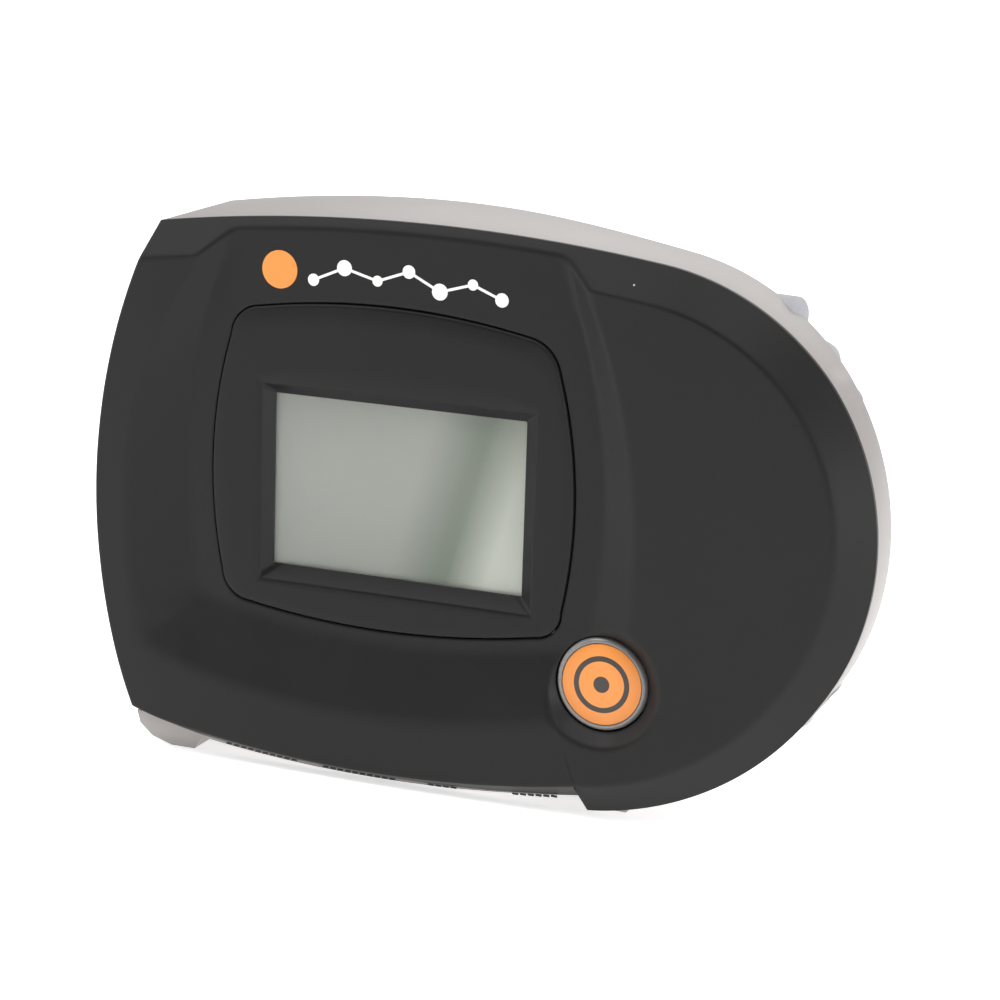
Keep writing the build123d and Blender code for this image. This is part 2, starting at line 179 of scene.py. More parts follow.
def band_line():
    """The rim that the chamfer band is measured from, carried on past its two ends."""
    start = [((-62.0, 36.2), TOP_LEFT, 30)]
    return trace(start + band_runs() + [(CHIN_END, (10.0, -51.0), 30), ((10.0, -51.0), (8.0, -52.0), 2)])


def brink_outline():
    return trace([
        ((-27.0, 50.0), (-34.9, 31.0), 20),
        ((-34.9, 31.0), (-46.0, 2.0), (-44.4, -24.5), 70),
        ((-44.4, -24.5), (-43.4, -28.2), (-40.6, -30.2), 12),
        ((-40.6, -30.2), (-5.0, -36.6), (25.8, -32.6), 80),
        ((25.8, -32.6), (35.8, -25.6), (40.7, -14.0), 30),
        ((40.7, -14.0), (39.6, 8.0), (32.6, 33.0), 60),
        ((32.6, 33.0), (27.0, 50.0), 20),
        ((27.0, 50.0), (-27.0, 50.0), 20),
    ])


def floor_outline():
    return trace([
        ((-24.0, 50.0), (-30.6, 33.0), 20),
        ((-30.6, 33.0), (-36.0, 2.0), (-34.0, -17.0), 60),
        ((-34.0, -17.0), (-33.0, -19.6), (-30.4, -20.7), 10),
        ((-30.4, -20.7), (-1.0, -23.9), (25.0, -21.6), 70),
        ((25.0, -21.6), (31.2, -19.6), (33.6, -14.0), 14),
        ((33.6, -14.0), (34.7, 5.0), (29.0, 33.0), 60),
        ((29.0, 33.0), (24.0, 50.0), 20),
        ((24.0, 50.0), (-24.0, 50.0), 20),
    ])


def bezel_outline(counts=(100, 44, 100, 28, 90, 20, 90, 14)):
    """Four bowed sides with round corners."""
    arcs = [
        ((-23.5, 27.6), (0.0, 29.4), (21.6, 27.1)),
        ((21.6, 27.1), (24.8, 25.6), (26.6, 22.6)),
        ((26.6, 22.6), (29.8, 3.0), (28.3, -15.0)),
        ((28.3, -15.0), (27.2, -18.2), (24.0, -19.6)),
        ((24.0, -19.6), (2.0, -22.0), (-24.6, -20.2)),
        ((-24.6, -20.2), (-28.2, -18.6), (-29.6, -15.2)),
        ((-29.6, -15.2), (-31.4, 0.0), (-28.4, 22.8)),
        ((-28.4, 22.8), (-26.8, 26.2), (-23.5, 27.6)),
    ]
    return trace([(*arc, count) for arc, count in zip(arcs, counts)])


def rectangle(left, right, low, high, count=60):
    corners = [(left, high), (right, high), (right, low), (left, low)]
    sides = zip(corners, corners[1:] + corners[:1])
    return np.vstack([line_points(a, b, count) for a, b in sides])


# ---------------------------------------------------------------- plane geometry


def cross2(a, b):
    return a[..., 0] * b[..., 1] - a[..., 1] * b[..., 0]


def distance(points, outline, closed=True):
    """Distance from each point to the outline."""
    ends = np.roll(outline, -1, 0) if closed else outline[1:]
    starts = outline if closed else outline[:-1]
    best = np.full(len(points), 1e9)
    for a, b in zip(starts, ends):
        side = b - a
        t = np.clip(((points - a) @ side) / (side @ side), 0, 1)
        gap = points - (a + t[:, None] * side)
        best = np.minimum(best, np.hypot(gap[:, 0], gap[:, 1]))
    return best


def inside(points, outline):
    """True for each point inside the closed outline."""
    result = np.zeros(len(points), bool)
    x, z = points[:, 0], points[:, 1]
    for a, b in zip(outline, np.roll(outline, -1, 0)):
        crosses = (a[1] > z) != (b[1] > z)
        rise = b[1] - a[1] if b[1] != a[1] else 1e-12
        result ^= crosses & (x < (b[0] - a[0]) * (z - a[1]) / rise + a[0])
    return result


def cast(centre, angles, outline):
    """Where rays from the centre meet the outline, farthest crossing first."""
    hits = np.zeros(len(angles))
    rays = np.stack([np.cos(angles), np.sin(angles)], 1)
    for a, b in zip(outline - centre, np.roll(outline, -1, 0) - centre):
        side = b - a
        below = cross2(rays, side)
        below = np.where(np.abs(below) < 1e-12, 1e-12, below)
        reach = cross2(a[None, :], side[None, :]) / below
        share = cross2(a[None, :], rays) / below
        hit = (share >= -1e-9) & (share <= 1 + 1e-9) & (reach > 0)
        hits = np.where(hit, np.maximum(hits, reach), hits)
    return centre + rays * hits[:, None]


def soft_max(a, b, blend):
    """The larger of two heights, rounded over where they meet."""
    h = np.clip(0.5 + 0.5 * (a - b) / blend, 0, 1)
    return b + (a - b) * h + blend * h * (1 - h)


def soft_min(a, b, blend):
    return -soft_max(-a, -b, blend)


# ---------------------------------------------------------------- meshes


def place(x, y, z):
    """Millimetres from the middle of the display to metres in the frame."""
    return Vector((MIDDLE.x + x * MM, MIDDLE.y + y * MM, MIDDLE.z + z * MM))


def add_piece(name, mesh, finish, body, *nodes):
    """Adds a piece whose finish is also its material slot."""
    return add_object(name, mesh, finish_of(finish), finish, body, *nodes)


def add_object(name, mesh, material, slot, body, *nodes):
    piece = bpy.data.objects.new(name, mesh)
    bpy.context.scene.collection.objects.link(piece)
    piece.data.materials.clear()
    piece.data.materials.append(material)
    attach(piece, body)
    if nodes:
        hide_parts(*nodes)
    return piece


def shade(mesh, degrees=32):
    mesh.polygons.foreach_set("use_smooth", [True] * len(mesh.polygons))
    mesh.set_sharp_from_angle(angle=math.radians(degrees))
    mesh.update()


def outward(mesh):
    """Closes doubles and turns every face outwards."""
    work = bmesh.new()
    work.from_mesh(mesh)
    bmesh.ops.remove_doubles(work, verts=work.verts, dist=1e-7)
    bmesh.ops.recalc_face_normals(work, faces=work.faces)
    work.to_mesh(mesh)
    work.free()


def bridged(rows, count, closed=False):
    """Faces between rows of points; the two ends are capped unless the last row joins the first."""
    faces = []
    for i in range(rows if closed else rows - 1):
        j = (i + 1) % rows
        for k in range(count):
            n = (k + 1) % count
            faces.append((i * count + k, i * count + n, j * count + n, j * count + k))
    if not closed:
        faces.append(list(range(count)))
        faces.append(list(range((rows - 1) * count, rows * count)))
    return faces


def solid(name, verts, faces):
    mesh = bpy.data.meshes.new(name)
    mesh.from_pydata(verts, [], faces)
    outward(mesh)
    return mesh


def ring_mesh(name, rings):
    """A closed solid from rings of (x, z) points and depths, joined in order and the last to the first."""
    count = len(rings[0][0])
    verts = []
    for points, depth in rings:
        for (x, z), y in zip(points, np.broadcast_to(depth, count)):
            verts.append(place(x, y, z))
    return solid(name, verts, bridged(len(rings), count, closed=True))


def turned_mesh(name, x, z, profile, count=96):
    """A solid turned about the depth axis through (x, z) from (radius, depth) pairs, closed at the axis."""
    verts = []
    for radius, depth in profile:
        for k in range(count):
            a = math.tau * k / count
            verts.append(place(x + radius * math.cos(a), depth, z + radius * math.sin(a)))
    return solid(name, verts, bridged(len(profile), count))


def plain_mesh(piece):
    """The piece's mesh with its modifiers applied."""
    evaluated = piece.evaluated_get(bpy.context.evaluated_depsgraph_get())
    return bpy.data.meshes.new_from_object(evaluated)


def cut(mesh, tool):
    """The mesh with the tool's shape taken out."""
    host = bpy.data.objects.new("cut_host", mesh)
    blade = bpy.data.objects.new("cut_tool", tool)
    for piece in (host, blade):
        bpy.context.scene.collection.objects.link(piece)
    step = host.modifiers.new("cut", "BOOLEAN")
    step.operation = "DIFFERENCE"
    step.solver = "EXACT"
    step.object = blade
    result = plain_mesh(host)
    for piece in (host, blade):
        bpy.data.objects.remove(piece)
    return result


def softened(node, width, segments=3, degrees=35):
    """A copy of a CAD node's mesh with its sharp edges rounded."""
    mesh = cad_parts[node].data.copy()
    work = bmesh.new()
    work.from_mesh(mesh)
    bmesh.ops.remove_doubles(work, verts=work.verts, dist=2e-6)
    bmesh.ops.dissolve_limit(work, angle_limit=math.radians(1.0), verts=work.verts, edges=work.edges)
    work.to_mesh(mesh)
    work.free()
    host = bpy.data.objects.new("soften_host", mesh)
    bpy.context.scene.collection.objects.link(host)
    step = host.modifiers.new("round", "BEVEL")
    step.width = width * MM
    step.segments = segments
    step.limit_method = "ANGLE"
    step.angle_limit = math.radians(degrees)
    step.use_clamp_overlap = True
    result = plain_mesh(host)
    bpy.data.objects.remove(host)
    shade(result, 40)
    return result


# ---------------------------------------------------------------- shared shader groups


def new_group(name, inputs, outputs):
    group = bpy.data.node_groups.new(name, "ShaderNodeTree")
    for title, kind, default in inputs:
        socket = group.interface.new_socket(title, in_out="INPUT", socket_type=kind)
        socket.default_value = default
    for title, kind in outputs:
        group.interface.new_socket(title, in_out="OUTPUT", socket_type=kind)
    nodes = group.nodes
    return group, nodes.new("NodeGroupInput"), nodes.new("NodeGroupOutput")


def math_node(tree, kind, a, b=None):
    node = tree.nodes.new("ShaderNodeMath")
    node.operation = kind
    for i, value in enumerate((a, b)):
        if value is None:
            continue
        if isinstance(value, (int, float)):
            node.inputs[i].default_value = value
        else:
            tree.links.new(value, node.inputs[i])
    return node.outputs[0]


def noise_node(tree, vector, scale, detail=3.0, roughness=0.55):
    node = tree.nodes.new("ShaderNodeTexNoise")
    node.inputs["Detail"].default_value = detail
    node.inputs["Roughness"].default_value = roughness
    if isinstance(scale, (int, float)):
        node.inputs["Scale"].default_value = scale
    else:
        tree.links.new(scale, node.inputs["Scale"])
    tree.links.new(vector, node.inputs["Vector"])
    return node.outputs["Fac"]


def ramp_node(tree, value, low, high):
    node = tree.nodes.new("ShaderNodeMapRange")
    node.inputs["From Min"].default_value = low
    node.inputs["From Max"].default_value = high
    tree.links.new(value, node.inputs["Value"])
    return node.outputs["Result"]


def moulded_grain_group():
    """Fine moulded texture: bump height, a roughness change and soft handling marks."""
    group, source, result = new_group(
        "Moulded grain",
        [("Vector", "NodeSocketVector", (0, 0, 0)), ("Grain per metre", "NodeSocketFloat", 5200.0),
         ("Roughness", "NodeSocketFloat", 0.5), ("Roughness change", "NodeSocketFloat", 0.08)],
        [("Height", "NodeSocketFloat"), ("Roughness", "NodeSocketFloat"), ("Marks", "NodeSocketFloat")],
    )
    vector = source.outputs["Vector"]
    fine = noise_node(group, vector, source.outputs["Grain per metre"], 2.0)
    wide = noise_node(group, vector, 38.0, 4.0, 0.6)
    marks = ramp_node(group, wide, 0.42, 0.72)
    centred = math_node(group, "SUBTRACT", wide, 0.5)
    change = math_node(group, "MULTIPLY", centred, source.outputs["Roughness change"])
    doubled = math_node(group, "MULTIPLY", change, 3.0)
    roughness = math_node(group, "ADD", source.outputs["Roughness"], doubled)
    group.links.new(fine, result.inputs["Height"])
    group.links.new(roughness, result.inputs["Roughness"])
    group.links.new(marks, result.inputs["Marks"])
    return group


def dust_group():
    """A few pale specks of dust: a mask from the cores of small cells."""
    group, source, result = new_group(
        "Dust specks",
        [("Vector", "NodeSocketVector", (0, 0, 0)), ("Specks per metre", "NodeSocketFloat", 230.0),
         ("Share", "NodeSocketFloat", 0.06)],
        [("Mask", "NodeSocketFloat")],
    )
    cells = group.nodes.new("ShaderNodeTexVoronoi")
    group.links.new(source.outputs["Vector"], cells.inputs["Vector"])
    group.links.new(source.outputs["Specks per metre"], cells.inputs["Scale"])
    core = math_node(group, "LESS_THAN", cells.outputs["Distance"], 0.035)
    split = group.nodes.new("ShaderNodeSeparateColor")
    group.links.new(cells.outputs["Color"], split.inputs["Color"])
    chosen = math_node(group, "LESS_THAN", split.outputs["Red"], source.outputs["Share"])
    group.links.new(math_node(group, "MULTIPLY", core, chosen), result.inputs["Mask"])
    return group


GROUPS = {}


def shared(name):
    makers = {"grain": moulded_grain_group, "dust": dust_group}
    if name not in GROUPS:
        GROUPS[name] = makers[name]()
    return GROUPS[name]


def group_node(tree, name, vector, **values):
    node = tree.nodes.new("ShaderNodeGroup")
    node.node_tree = shared(name)
    tree.links.new(vector, node.inputs["Vector"])
    for key, value in values.items():
        node.inputs[key.replace("_", " ").capitalize()].default_value = value
    return node


def mix_colour(tree, mask, a, b):
    node = tree.nodes.new("ShaderNodeMix")
    node.data_type = "RGBA"
    tree.links.new(mask, node.inputs[0])
    for index, value in ((6, a), (7, b)):
        if isinstance(value, bpy.types.NodeSocket):
            tree.links.new(value, node.inputs[index])
        else:
            node.inputs[index].default_value = (*value, 1.0)
    return node.outputs[2]


def new_material(name):
    material = bpy.data.materials.new(name)
    material.use_nodes = True
    tree = material.node_tree
    shader = tree.nodes["Principled BSDF"]
    place_node = tree.nodes.new("ShaderNodeTexCoord")
    return material, tree, shader, place_node.outputs["Object"]


def grained(tree, shader, vector, per_metre, roughness, change=0.08):
    """Adds the grain and lets it vary the roughness."""
    node = group_node(tree, "grain", vector, grain_per_metre=per_metre, roughness=roughness,
                      roughness_change=change)
    tree.links.new(node.outputs["Roughness"], shader.inputs["Roughness"])
    return node


def relief(tree, shader, grain_node, strength, depth):
    """Lets the grain stand out of the surface."""
    node = tree.nodes.new("ShaderNodeBump")
    node.inputs["Strength"].default_value = strength
    node.inputs["Distance"].default_value = depth
    tree.links.new(grain_node.outputs["Height"], node.inputs["Height"])
    tree.links.new(node.outputs["Normal"], shader.inputs["Normal"])


def moulded(name, base, roughness, grain=5200.0, bump=0.25, dust=0.0, lift=0.25, shine=0.5):
    """Moulded plastic: grain, slightly lighter handling marks, and dust where asked."""
    material, tree, shader, vector = new_material(name)
    shader.inputs["Specular IOR Level"].default_value = shine
    grain_node = grained(tree, shader, vector, grain, roughness)
    lighter = tuple(min(1.0, c * (1 + lift)) for c in base)
    surface = mix_colour(tree, grain_node.outputs["Marks"], base, lighter)
    if dust:
        specks = group_node(tree, "dust", vector, share=dust)
        surface = mix_colour(tree, specks.outputs["Mask"], surface, (0.5, 0.48, 0.45))
    tree.links.new(surface, shader.inputs["Base Color"])
    relief(tree, shader, grain_node, bump, 0.00004)
    return material


MATERIALS = {}


def finish_of(name):
    """The material of that name, made when it is first asked for."""
    colours = bpy.context.scene.controller_colours
    makers = {
        "black_plastic": lambda: moulded("Black plastic", tuple(colours.cover), 0.46, dust=0.05, shine=0.24),
        "bezel_plastic": lambda: moulded(
            "Bezel plastic", tuple(colours.bezel), 0.40, grain=6500, dust=0.03, shine=0.22),
        "silver_paint": lambda: silver_paint(tuple(colours.shell)),
        "grip_rubber": lambda: moulded(
            "Grip rubber", tuple(colours.grip), 0.62, grain=4200, bump=0.3, lift=0.1),
        "socket_plastic": lambda: moulded("Socket plastic", (0.02, 0.02, 0.022), 0.35, bump=0.1),
        "frame_plastic": lambda: moulded("Frame plastic", (0.7, 0.7, 0.67), 0.5, bump=0.1),
        "diffuser": lambda: moulded("Diffuser", (0.8, 0.83, 0.8), 0.35, bump=0.05),
        "board": lambda: circuit_board(tuple(colours.board)),
        "chip": lambda: moulded("Chip plastic", (0.015, 0.015, 0.016), 0.55, bump=0.2),
        "contact_metal": lambda: metal("Contact metal", (0.83, 0.6, 0.26), 0.25),
        "screw_steel": lambda: metal("Screw steel", (0.5, 0.5, 0.5), 0.35),
        "lens": clear_lens,
        "lcd_glass": lambda: display_glass(tuple(colours.display)),
        "button_plastic": button_plastic,
        "orange_foil": lambda: button_foil(tuple(colours.accent)),
        "print_orange": lambda: moulded("Orange print", tuple(colours.accent), 0.45, bump=0.1, lift=0.12),
        "print_white": lambda: moulded("White print", (0.80, 0.79, 0.78), 0.45, bump=0.1, lift=0.05),
        "print_black": lambda: moulded("Black print", (0.02, 0.02, 0.02), 0.5, bump=0.1),
    }
    if name not in MATERIALS:
        MATERIALS[name] = makers[name]()
    return MATERIALS[name]


def silver_paint(base):
    material, tree, shader, vector = new_material("Silver paint")
    grain_node = grained(tree, shader, vector, 9000.0, 0.42, 0.05)
    flakes = noise_node(tree, vector, 16000.0, 1.0)
    sparkle = ramp_node(tree, flakes, 0.4, 0.75)
    dark = tuple(c * 0.88 for c in base)
    light = tuple(min(1.0, c * 1.12) for c in base)
    tree.links.new(mix_colour(tree, sparkle, dark, light), shader.inputs["Base Color"])
    shader.inputs["Metallic"].default_value = 0.25
    relief(tree, shader, grain_node, 0.12, 0.00003)
    return material


def metal(name, base, roughness):
    material, tree, shader, vector = new_material(name)
    grain_node = grained(tree, shader, vector, 3000.0, roughness, 0.1)
    dull = tuple(c * 0.7 for c in base)
    tree.links.new(mix_colour(tree, grain_node.outputs["Marks"], base, dull), shader.inputs["Base Color"])
    shader.inputs["Metallic"].default_value = 1.0
    return material


def circuit_board(base):
    """Green lacquer with paler copper runs on a square grid."""
    material, tree, shader, vector = new_material("Circuit board")
    grained(tree, shader, vector, 2500.0, 0.35)
    bricks = tree.nodes.new("ShaderNodeTexBrick")
    bricks.inputs["Scale"].default_value = 260.0
    bricks.inputs["Mortar Size"].default_value = 0.012
    tree.links.new(vector, bricks.inputs["Vector"])
    runs = mix_colour(tree, bricks.outputs["Fac"], base, tuple(min(1, c * 2.2) for c in base))
    tree.links.new(runs, shader.inputs["Base Color"])
    return material


def clear_lens():
    material, tree, shader, vector = new_material("Clear lens")
    scuffs = noise_node(tree, vector, 420.0, 5.0, 0.7)
    tree.links.new(ramp_node(tree, scuffs, -2.2, 9.0), shader.inputs["Roughness"])
    tint = mix_colour(tree, scuffs, (0.97, 0.985, 0.97), (0.94, 0.965, 0.945))
    tree.links.new(tint, shader.inputs["Base Color"])
    shader.inputs["Transmission Weight"].default_value = 1.0
    shader.inputs["IOR"].default_value = 1.49
    return material


def display_glass(base):
    """The idle display: grey-green, with a darker, greener slanting band and a pale corner at the right, both
    painted reflection.
    """
    material, tree, shader, vector = new_material("Display glass")
    cloud = noise_node(tree, vector, 24.0, 3.0)
    split = tree.nodes.new("ShaderNodeSeparateXYZ")
    tree.links.new(vector, split.inputs["Vector"])
    across = ramp_node(tree, split.outputs["X"], LENS_LOW[0], LENS_HIGH[0])
    upward = ramp_node(tree, split.outputs["Z"], LENS_LOW[2], LENS_HIGH[2])
    slant = math_node(tree, "ADD", across, math_node(tree, "MULTIPLY", upward, -0.2))
    # painted reflection: the darker, greener slanting band across the right of the display
    painted_reflection_band = ramp_node(tree, slant, 0.44, 0.6)
    painted_highlight_ramp = ramp_node(tree, slant, 0.64, 0.78)
    # painted highlight: the pale corner at the right of the display
    corner = math_node(tree, "MULTIPLY", painted_highlight_ramp, ramp_node(tree, upward, 1.6, 0.2))
    tone = mix_colour(tree, painted_reflection_band, base, (base[0] * 0.42, base[1] * 0.50, base[2] * 0.40))
    tone = mix_colour(tree, corner, tone, tuple(min(1.0, c * 1.9) for c in base))
    tree.links.new(tone, shader.inputs["Base Color"])
    tree.links.new(ramp_node(tree, cloud, -0.4, 2.0), shader.inputs["Roughness"])
    return material


def button_plastic():
    material, tree, shader, vector = new_material("Button plastic")
    grain_node = grained(tree, shader, vector, 5000.0, 0.2, 0.06)
    tone = mix_colour(tree, grain_node.outputs["Marks"], (0.16, 0.155, 0.15), (0.24, 0.23, 0.22))
    tree.links.new(tone, shader.inputs["Base Color"])
    shader.inputs["Coat Weight"].default_value = 0.5
    return material


def button_foil(base):
    """Orange foil with a dark ring and a dark dot, a plain aiming mark."""
    material, tree, shader, vector = new_material("Button foil")
    centre = place(BUTTON[0], 0, BUTTON[1])
    mapping = tree.nodes.new("ShaderNodeMapping")
    mapping.inputs["Location"].default_value = (-centre.x, 0, -centre.z)
    mapping.inputs["Scale"].default_value = (1, 0, 1)
    tree.links.new(vector, mapping.inputs["Vector"])
    reach = tree.nodes.new("ShaderNodeVectorMath")
    reach.operation = "LENGTH"
    tree.links.new(mapping.outputs["Vector"], reach.inputs[0])
    radius = math_node(tree, "MULTIPLY", reach.outputs["Value"], 1000.0)
    off_ring = math_node(tree, "ABSOLUTE", math_node(tree, "SUBTRACT", radius, 4.1))
    ring = math_node(tree, "LESS_THAN", off_ring, 0.42)
    dot = math_node(tree, "LESS_THAN", radius, 1.3)
    dark = math_node(tree, "MAXIMUM", ring, dot)
    grain_node = grained(tree, shader, vector, 1500.0, 0.4, 0.1)
    lighter = tuple(min(1, c * 1.15 + 0.02) for c in base)
    tone = mix_colour(tree, grain_node.outputs["Marks"], base, lighter)
    tree.links.new(mix_colour(tree, dark, tone, (0.04, 0.035, 0.03)), shader.inputs["Base Color"])
    return material


def dress(node, name):
    """Gives a CAD node its finish."""
    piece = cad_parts[node]
    piece.data.materials.clear()
    piece.data.materials.append(finish_of(name))


# ---------------------------------------------------------------- front cover


def cover_height(points, sizes):
    """Depth of the cover's front at each point: face, chamfer band, recess and button pocket."""
    face = -sizes.face_depth / MM
    rim = -sizes.rim_depth / MM
    floor = -sizes.floor_depth / MM
    width = sizes.band_width / MM
    radius = sizes.edge_round / MM
    left = np.clip((-38.0 - points[:, 0]) / 13.0, 0, 1)
    low = np.clip((-30.0 - points[:, 1]) / 14.0, 0, 1)
    crown = face + sizes.crown / MM * (left**2 + low**2)
    to_band = distance(points, band_line(), closed=False)
    band = rim + (face - rim) * to_band / width
    height = soft_max(crown, band, 0.2)
    brink = brink_outline()
    bottom = floor_outline()
    to_brink = distance(points, brink) * np.where(inside(points, brink), 1, -1)
    to_floor = distance(points, bottom) * np.where(inside(points, bottom), -1, 1)
    gap = np.maximum(to_brink + to_floor, 1.0)
    slope = face + (floor - face) * to_brink / gap
    recess = soft_min(slope, np.full(len(points), floor), 0.28)
    height = soft_max(height, recess, 0.34)
    reach = np.hypot(points[:, 0] - BUTTON[0], points[:, 1] - BUTTON[1])
    pocket = -2.9 - (reach - 8.3) * 1.05
    height = soft_max(height, pocket, 0.5)
    edge = np.minimum(distance(points, face_outline()), radius)
    rounding = radius - np.sqrt(np.maximum(radius**2 - (radius - edge) ** 2, 0))
    return height + rounding * np.clip((rim - height) / (rim - face), 0, 1)


COVER_GAP = 0.2


def along(start, end, d):
    """Points d millimetres from start towards end."""
    way = end - start
    return start + way * d / np.linalg.norm(way, axis=1)[:, None]


def cover_mesh(sizes):
    outline = face_outline()
    rim = rim_outline()
    hole = bezel_outline()
    hole = along(hole, outline, COVER_GAP)
    far = np.linalg.norm(outline - hole, axis=1)[:, None]
    spots = [along(hole, outline, d) for d in (0.0, 0.12, 0.3)]
    rows = 90
    for i in range(rows):
        spots.append(along(hole, outline, 0.65 + (far - 1.9) * i / (rows - 1)))
    spots += [along(outline, hole, d) for d in (0.85, 0.6, 0.42, 0.28, 0.17, 0.08, 0.02, 0.0)]
    heights = [cover_height(points, sizes) for points in spots]
    heights[0] = heights[0] + 0.16
    heights[1] = heights[1] + 0.04
    rings = list(zip(spots, heights))
    rings.append((rim, -0.02))
    skin = sizes.cover_skin / MM
    rings.append((along(rim, hole, 1.9), -0.02))
    for i in range(len(spots) - 14, 2, -8):
        rings.append((spots[i], np.minimum(heights[i] + skin, -0.05)))
    rings.append((hole, np.minimum(heights[0] + skin, 0.0)))
    mesh = ring_mesh("front_cover_skin", rings)
    blade = turned_mesh("button_bore", *BUTTON, [(7.62, -6.0), (7.62, 3.0)])
    result = cut(mesh, blade)
    shade(result, 38)
    return result


class CONTROLLER_OT_front_cover(bpy.types.Operator):
    """Builds the black front cover with its chamfer band, recess and button pocket"""

    bl_idname = "controller.front_cover"
    bl_label = "Front cover"

    def execute(self, context):
        mesh = cover_mesh(context.scene.controller_sizes)
        add_piece("front_cover_skin", mesh, "black_plastic", "case", "front_cover")
        return {"FINISHED"}


# ---------------------------------------------------------------- display


def bezel_mesh(sizes):
    outline = bezel_outline((60, 20, 60, 20, 60, 20, 60, 20))
    centre = np.array((0.3, 0.0))
    window = rectangle(-22.8, 23.4, -16.2, 15.6)
    angles = np.concatenate([np.arctan2(*(ring - centre).T[::-1]) for ring in (outline, window)])
    angles = np.unique(np.round(angles, 5))
    edge = cast(centre, angles, outline)
    opening = cast(centre, angles, window)
    glass = cast(centre, angles, rectangle(-21.25, 21.25, -13.85, 13.85))
    front = -sizes.bezel_depth / MM

    def between(a, b, t):
        return a + (b - a) * t

    def pulled(points, d):
        way = points - centre
        return points - way * d / np.linalg.norm(way, axis=1)[:, None]

    rings = [(glass, 0.1), (glass, -0.55), (between(glass, opening, 0.93), front + 0.2)]
    rings += [(opening, front + 0.06), (pulled(opening, -0.25), front)]
    for t in (0.25, 0.5, 0.75):
        rings.append((between(pulled(opening, -0.25), pulled(edge, 0.6), t), front))
    rings += [(pulled(edge, 0.6), front), (pulled(edge, 0.3), front + 0.07)]
    rings += [(pulled(edge, 0.1), front + 0.22), (edge, front + 0.5), (edge, 0.3), (pulled(edge, 4.0), 0.3)]
    mesh = ring_mesh("bezel", rings)
    shade(mesh, 30)
    return mesh


class CONTROLLER_OT_display(bpy.types.Operator):
    """Builds the display bezel and finishes the lens, the glass and what lies behind them"""

    bl_idname = "controller.display"
    bl_label = "Display"

    def execute(self, context):
        mesh = bezel_mesh(context.scene.controller_sizes)
        add_piece("bezel", mesh, "bezel_plastic", "case", "display_bezel")
        lens = softened("display_lens", 0.12)
        add_piece("lens", lens, "lens", "case", "display_lens")
        dress("lcd_panel", "lcd_glass")
        dress("lcd_frame", "frame_plastic")
        dress("lcd_backlight", "diffuser")
        dress("lcd_contacts", "contact_metal")
        return {"FINISHED"}


# ---------------------------------------------------------------- printed marks


PRINT = 0.03


def flat_mark(outline, depth):
    """A thin printed patch with the given outline, standing just proud of the surface at that depth."""
    count = len(outline)
    verts = [place(x, y, z) for y in (depth - PRINT, depth + 0.2) for x, z in outline]
    faces = [(k, (k + 1) % count, (k + 1) % count + count, k + count) for k in range(count)]
    faces += [tuple(range(count)), tuple(range(count, 2 * count))]
    mesh = bpy.data.meshes.new("mark")
    mesh.from_pydata(verts, [], faces)
    outward(mesh)
    return mesh


def disc_outline(x, z, radius, count=36):
    angles = math.tau * np.arange(count) / count
    return np.stack([x + radius * np.cos(angles), z + radius * np.sin(angles)], 1)


def stroke_outline(a, b, width):
    a, b = np.array(a), np.array(b)
    way = (b - a) / np.linalg.norm(b - a)
    side = np.array([-way[1], way[0]]) * width / 2
    return np.array([a + side, a - side, b - side, b + side])


def joined(meshes, name):
    work = bmesh.new()
    for mesh in meshes:
        work.from_mesh(mesh)
    result = bpy.data.meshes.new(name)
    work.to_mesh(result)
    work.free()
    return result


STARS = ((-14.4, 32.6, 0.95), (-9.2, 34.9, 1.25), (-3.6, 33.4, 0.85), (1.6, 35.3, 1.05),
         (6.8, 32.7, 1.3), (12.2, 34.3, 0.85), (17.0, 32.4, 1.1))


def belly_lip(x):
    """Height of the shell's lower edge at x."""
    return -47.3 + 2.05 * ((x + 1.2) / 33.0) ** 2


class CONTROLLER_OT_marks(bpy.types.Operator):
    """Prints a plain orange disc with a chain of stars over the display, and dashes over the sockets"""

    bl_idname = "controller.marks"
    bl_label = "Printed marks"

    def execute(self, context):
        depth = -context.scene.controller_sizes.floor_depth / MM
        disc = flat_mark(disc_outline(-20.2, 33.7, 3.0, 64), depth)
        add_object("print_disc", disc, finish_of("print_orange"), "orange_foil", "case")
        pieces = [flat_mark(disc_outline(x, z, r), depth) for x, z, r in STARS]
        pairs = zip(STARS, STARS[1:])
        pieces += [flat_mark(stroke_outline(a[:2], b[:2], 0.42), depth + 0.005) for a, b in pairs]
        stars = joined(pieces, "print_stars")
        add_object("print_stars", stars, finish_of("print_white"), None, "case")
        add_object("print_dashes", dashes_mesh(), finish_of("print_black"), "black_plastic", "case")
        return {"FINISHED"}


def dashes_mesh():
    """Four rows of short dashes on the lip under the belly, one over each socket."""
    rows = ((-29.5, 10), (-12.2, 10), (6.2, 4), (20.6, 6))
    pieces = []
    for left, count in rows:
        for k in range(count):
            x = left + 1.3 * k
            low, high = belly_lip(x) + 0.1, belly_lip(x) + 0.42
            block = np.array([(x, high), (x, low), (x + 1.0, low), (x + 1.0, high)])
            pieces.append(flat_mark(block, 0.0))
    return joined(pieces, "print_dashes")


# ---------------------------------------------------------------- button


